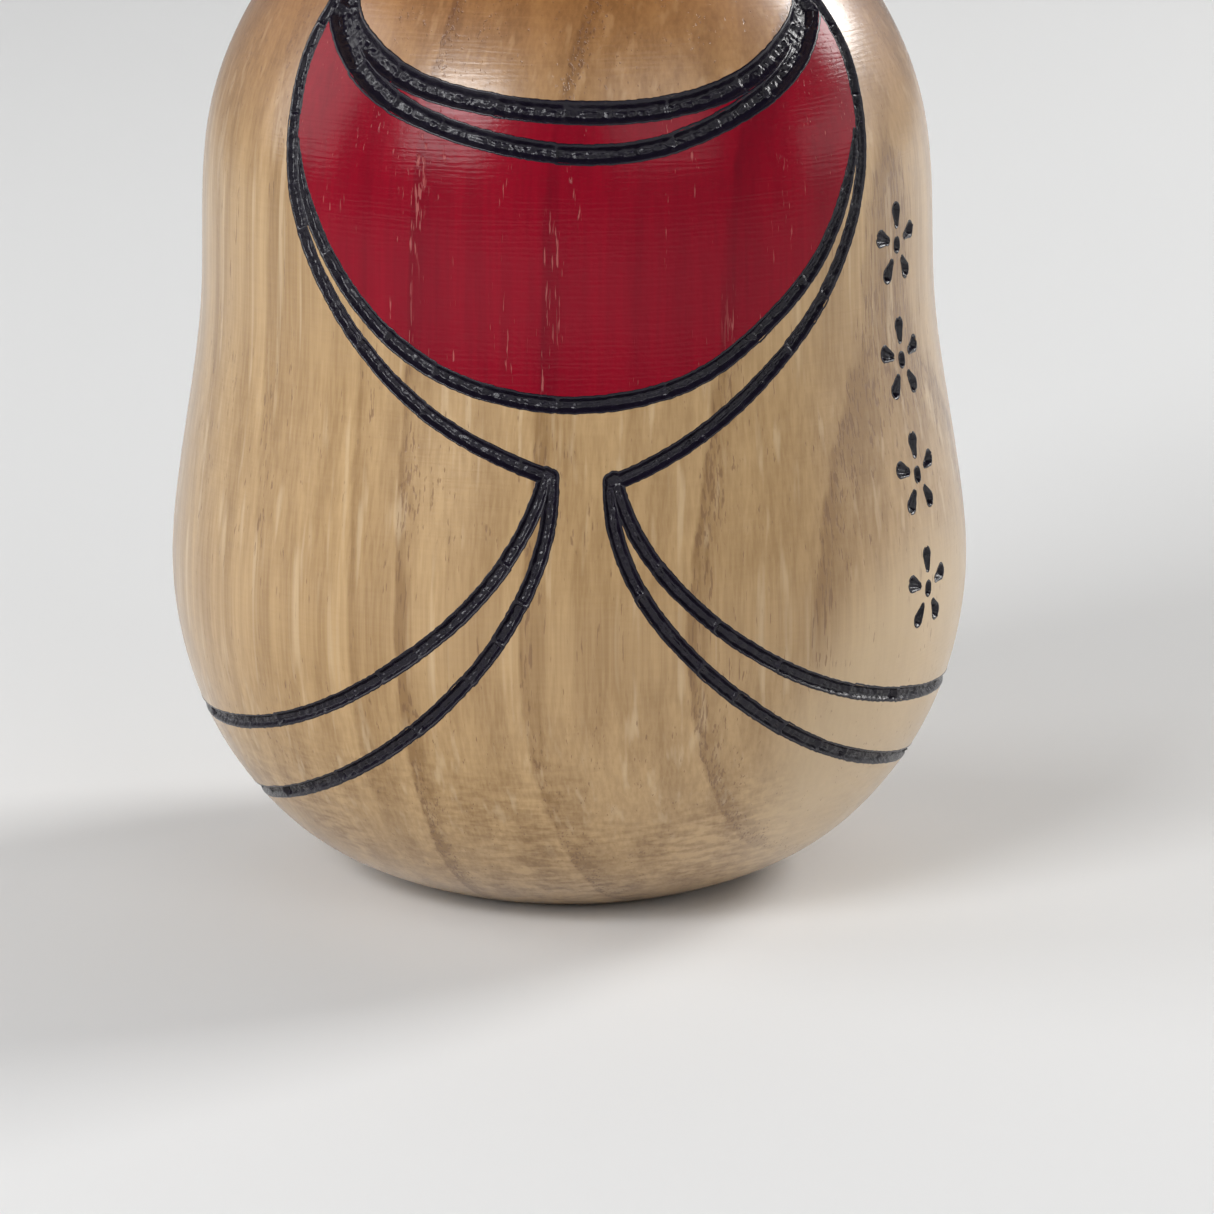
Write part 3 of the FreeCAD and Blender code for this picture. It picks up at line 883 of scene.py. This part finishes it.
def wood_material(name, neck_shade_span, shift=0.0):
    """Varnished ring-porous hardwood, with painted shade that makes it darker and warmer between two
    heights, towards the neck.
    """
    graph = Graph(name, shift)
    figure = wood_figure(graph)
    lathe = graph.noise(graph.place(), (3, 3, 0.4), 2.0, offset=53)
    shade = graph.total(
        graph.times(figure["streaks"], 0.7), graph.times(figure["rings"], 0.75),
        graph.times(figure["curl"], 0.6), graph.scaled(lathe, -LATHE_TONE, LATHE_TONE),
    )
    colour = graph.colour(shade, WOOD_LIGHT, WOOD_DARK)
    pale = graph.math("MAXIMUM", graph.times(figure["pale"], 0.5), graph.times(figure["sapwood"], 0.75))
    colour = graph.colour(pale, colour, WOOD_PALE)
    colour = graph.colour(graph.times(figure["pores"], 0.6), colour, WOOD_PORE)
    # Painted shade: the wood turns darker and warmer towards the neck, where the head overhangs
    neck_shade = graph.steps(figure["up"], *neck_shade_span)
    colour = graph.colour(neck_shade, colour, WOOD_NECK_SHADE, "MULTIPLY")
    bump = turned_bump(graph, figure, 0.0014, 0.012)
    return graph.finish(
        Base_Color=colour, Roughness=0.5, Specular_IOR_Level=0.4, Normal=bump,
        Coat_Weight=1.0, Coat_Roughness=0.24, Coat_IOR=1.5, Coat_Normal=bump,
    )


def stain_material(name):
    """Deep translucent crimson over the same wood. Its pores are paler, and show only in places."""
    graph = Graph(name)
    figure = wood_figure(graph)
    shade = graph.total(graph.times(figure["streaks"], 0.5), graph.times(figure["rings"], 0.5))
    colour = graph.colour(shade, STAIN_LIGHT, STAIN_DARK)
    clumps = graph.steps(graph.noise(graph.place(), (3.2, 3.2, 22), 1.0, offset=47), 0.5, 0.58)
    coarse = graph.steps(figure["across"], *COARSE_SPAN)
    figure["pores"] = graph.times(figure["pores"], graph.math("MAXIMUM", clumps, coarse))
    colour = graph.colour(graph.times(figure["pores"], 0.3), colour, STAIN_PORE)
    bump = turned_bump(graph, figure, 0.0023, 0.035)
    return graph.finish(
        Base_Color=colour, Roughness=0.5, Specular_IOR_Level=0.0, Normal=bump,
        Coat_Weight=0.4, Coat_Roughness=0.2, Coat_IOR=1.5, Coat_Normal=bump,
    )


def lacquer_material():
    """Glossy blue-black lacquer, with fine brush marks."""
    graph = Graph("black_lacquer")
    place = graph.place()
    blotch = graph.noise(place, (0.5, 0.5, 0.5), 3.0, 0.6)
    colour = graph.colour(blotch, LACQUER_DARK, LACQUER_LIGHT)
    height = graph.times(graph.noise(place, (0.09, 0.09, 0.09), 3.0), 0.02)
    bump = graph.node("Bump", {"Height": height, "Distance": MM, "Strength": 1.0}).outputs[0]
    return graph.finish(
        Base_Color=colour, Roughness=graph.scaled(blotch, 0.08, 0.28), Normal=bump,
        Specular_IOR_Level=0.35,
    )


def paint_material():
    """Opaque red paint, a little uneven."""
    graph = Graph("red_paint")
    blotch = graph.noise(graph.place(), (0.8, 0.8, 0.8), 3.0, 0.6)
    colour = graph.colour(blotch, PAINT_LIGHT, PAINT_DARK)
    bump = graph.node("Bump", {"Height": blotch, "Distance": 0.02 * MM, "Strength": 1.0}).outputs[0]
    return graph.finish(
        Base_Color=colour, Roughness=0.3, Normal=bump, Coat_Weight=0.4, Coat_Normal=bump
    )


def floor_material():
    """Matt and pale, with a very faint drift in its tone."""
    graph = Graph("pale_floor")
    tint = graph.noise(graph.place(), (300, 300, 300), 2.0)
    colour = graph.colour(tint, FLOOR_DARK, FLOOR_LIGHT)
    return graph.finish(Base_Color=colour, Roughness=0.9, Specular_IOR_Level=0.1)


def add_piece(piece, node, body, material):
    """A finished piece: it stands for a CAD node, rides on a body and takes a slot's finish."""
    piece.data.materials.clear()
    piece.data.materials.append(material)
    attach(piece, body)
    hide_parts(node)


def make_doll():
    """The body, the head, and everything that is carved, stained or painted on them."""
    wood = wood_material("body_wood", BODY_NECK_SHADE_SPAN)
    head_wood = wood_material("head_wood", HEAD_NECK_SHADE_SPAN, HEAD_SHIFT)
    stain = stain_material("red_stain")
    black = lacquer_material()
    red = paint_material()

    body = Turning(BODY_PROFILE)
    lines = make_lines(body, BODY_LINES, BODY_SEED)
    strokes = blossom_lines(body)
    pieces = carved_form(
        "carved_body", body, body_outline(body), [*lines.values(), *strokes], bib_outlines(body)
    )
    add_piece(pieces["carved_body"], "body", "torso", wood)
    for node in ("bib_field", "bib_band"):
        pieces[node].name = "stained_" + node
        add_piece(pieces[node], node, "torso", stain)
    for node, lacquer in lacquer_pieces(lines).items():
        add_piece(lacquer, node, "torso", black)
    blossoms = joined([stroke.lacquer("petal", [], []) for stroke in strokes], "lacquer_blossoms")
    blossoms.data.shade_smooth()
    add_piece(blossoms, "side_blossoms", "torso", black)

    head = Turning(HEAD_PROFILE, round_crown=True)
    face_lines = make_lines(head, FACE_LINES, FACE_SEED)
    pieces = carved_form(
        "carved_head", head, head_outline(head), list(face_lines.values()), face_outlines()
    )
    add_piece(pieces["carved_head"], "head", "head", head_wood)
    for node in ("mouth_paint", "brow_dot"):
        pieces[node].name = "red_" + node
        add_piece(pieces[node], node, "head", red)
    for node, lacquer in lacquer_pieces(face_lines).items():
        add_piece(lacquer, node, "head", black)

    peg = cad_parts["neck_peg"]
    peg.data.materials.clear()
    peg.data.materials.append(wood)


def make_floor():
    """A wide round pale floor, whose rim bends softly up into a wall."""
    outline = [(0, 0), (FLOOR_RADIUS, 0)]
    for bend in np.linspace(0, math.pi / 2, FLOOR_BEND_STEPS)[1:]:
        outline.append((FLOOR_RADIUS + FLOOR_BEND * math.sin(bend), FLOOR_BEND * (1 - math.cos(bend))))
    outline.append((FLOOR_RADIUS + FLOOR_BEND, WALL_HEIGHT))
    turns = np.arange(FLOOR_SEGMENTS) * 2 * math.pi / FLOOR_SEGMENTS
    vertices = [(0, 0, 0)]
    for radius, height in outline[1:]:
        vertices += [(radius * math.sin(turn), -radius * math.cos(turn), height) for turn in turns]
    faces = []
    for j in range(FLOOR_SEGMENTS):
        k = (j + 1) % FLOOR_SEGMENTS
        faces.append((0, 1 + j, 1 + k))
        for start in range(1, 1 + (len(outline) - 2) * FLOOR_SEGMENTS, FLOOR_SEGMENTS):
            beyond = start + FLOOR_SEGMENTS
            faces.append((start + j, beyond + j, beyond + k, start + k))
    floor = solid("pale_floor", vertices, faces)
    floor.data.shade_smooth()
    floor.data.materials.append(floor_material())


def add_light(name, azimuth, elevation, distance, size, power, colour):
    """A soft panel that faces the doll. Azimuth is from the front, growing towards +X."""
    lamp = bpy.data.lights.new(name, "AREA")
    lamp.shape = "RECTANGLE"
    lamp.size, lamp.size_y = size
    lamp.energy = power
    lamp.color = colour
    panel = bpy.data.objects.new(name, lamp)
    turn, rise = math.radians(azimuth), math.radians(elevation)
    towards = Vector((math.sin(turn) * math.cos(rise), -math.cos(turn) * math.cos(rise), math.sin(rise)))
    panel.location = towards * distance + Vector((0, 0, LIGHT_AIM_HEIGHT))
    panel.rotation_mode = "QUATERNION"
    panel.rotation_quaternion = towards.to_track_quat("Z", "Y")
    panel.visible_camera = False
    bpy.context.scene.collection.objects.link(panel)


def make_lights():
    """The key light from the right and behind, a window's highlights on the left, and soft fill."""
    add_light("key_panel", 117, 30, 1.4, (0.5, 0.5), 13.5, WARM_WHITE)
    add_light("window_panel", -42, 25, 1.2, (0.55, 0.45), 5.6, COOL_WHITE)
    add_light("window_strip", -40, 36, 1.15, (0.45, 0.2), 3.8, COOL_WHITE)
    add_light("left_panel", -95, 25, 1.3, (0.7, 0.9), 5.5, WHITE)
    add_light("front_panel", 30, 30, 1.4, (0.8, 0.8), 3.2, WHITE)
    add_light("right_panel", 95, 10, 1.4, (0.9, 0.35), 1.7, WHITE)
    add_light("back_panel", 180, 40, 1.5, (1.2, 0.8), 2.6, WHITE)
    world = bpy.data.worlds.new("studio")
    world.use_nodes = True
    sky = world.node_tree.nodes["Background"]
    sky.inputs["Color"].default_value = (*SKY, 1)
    sky.inputs["Strength"].default_value = SKY_STRENGTH
    bpy.context.scene.world = world


def make_camera():
    """Looks down at the front from a little to the left, close enough to fill its view."""
    right = Vector((math.cos(CAMERA_AZIMUTH), math.sin(CAMERA_AZIMUTH), 0))
    back = Vector((math.sin(CAMERA_AZIMUTH), -math.cos(CAMERA_AZIMUTH), 0)) * math.cos(CAMERA_PITCH)
    back.z = math.sin(CAMERA_PITCH)
    aim = Vector((0, 0, CAMERA_AIM_HEIGHT)) + right * CAMERA_SIDESTEP
    lens = bpy.data.cameras.new("camera")
    lens.sensor_width = CAMERA_SENSOR
    lens.lens = CAMERA_LENS
    lens.clip_start = CAMERA_CLIP
    camera = bpy.data.objects.new("camera", lens)
    camera.location = (aim + back * CAMERA_DISTANCE) * MM
    camera.rotation_mode = "QUATERNION"
    level = back.to_track_quat("Z", "Y")
    camera.rotation_quaternion = level @ Quaternion((0, 0, 1), CAMERA_ROLL)
    bpy.context.scene.collection.objects.link(camera)
    bpy.context.scene.camera = camera


bpy.context.scene.view_settings.view_transform = "Standard"
make_camera()
make_doll()
make_floor()
make_lights()
